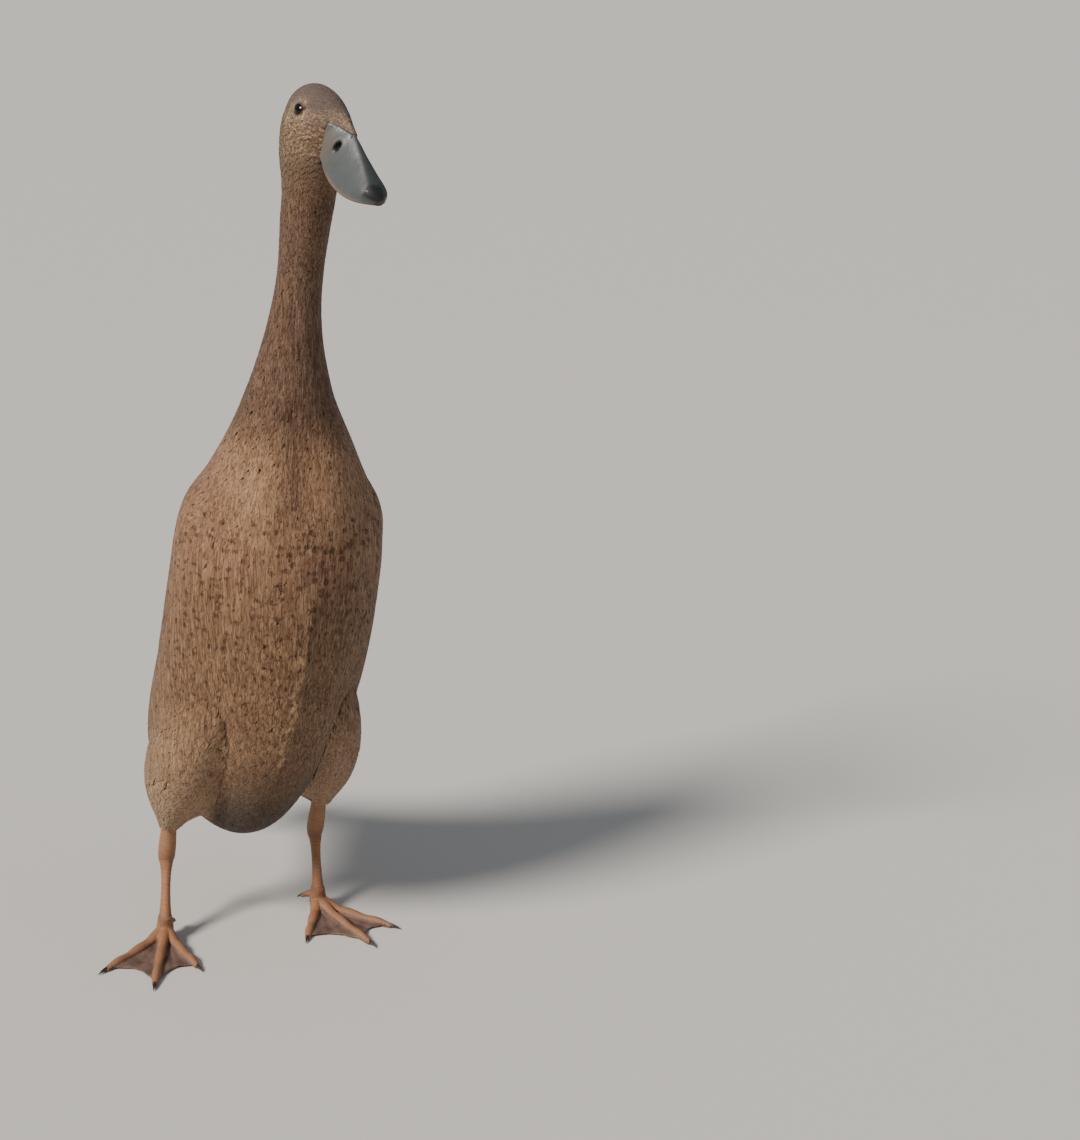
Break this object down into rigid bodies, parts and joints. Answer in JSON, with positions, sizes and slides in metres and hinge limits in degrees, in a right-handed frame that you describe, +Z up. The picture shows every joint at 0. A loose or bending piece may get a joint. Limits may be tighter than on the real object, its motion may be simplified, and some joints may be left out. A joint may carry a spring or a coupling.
{
  "type": "indian runner duck",
  "caption": "Upright, slender domestic duck standing still on both webbed feet, with a long straight neck, wedge-shaped bill, folded wings and short low tail.",
  "frame": {"origin": "middle of the bounding box at the floor that the soles rest on", "axes": "+Z up along the upright body and neck, -Y the way the breast faces, +X to the duck's own left; the head turns a little to its left"},
  "size_m": [0.2244, 0.3232, 0.617],
  "materials": {
    "plumage": "soft dense body feathers, warm fawn brown with darker feather centres",
    "wing": "smooth folded wing feathers, fawn brown with pale edges",
    "tail": "stiff tail feathers, brown with pale edges",
    "bill": "satin horn, slate grey-green with a near-black nail",
    "eye": "wet and glossy, very dark brown",
    "leg": "scaly skin, dull orange-brown",
    "web": "thin scaly skin, grey-brown with orange toes",
    "claw": "satin horn, near black"
  },
  "bodies": {
    "root": {"head": "plumage", "bill_upper": "bill", "bill_lower": "bill", "eye_left": "eye", "eye_right": "eye", "neck": "plumage", "torso": "plumage", "wing_left": "wing", "wing_right": "wing", "tail": "tail", "thigh_left": "plumage", "thigh_right": "plumage", "shank_left": "leg", "shank_right": "leg", "foot_left": "web", "foot_right": "web", "claw_left_outer": "claw", "claw_left_middle": "claw", "claw_left_inner": "claw", "claw_left_hind": "claw", "claw_right_outer": "claw", "claw_right_middle": "claw", "claw_right_inner": "claw", "claw_right_hind": "claw"}
  },
  "joints": []
}
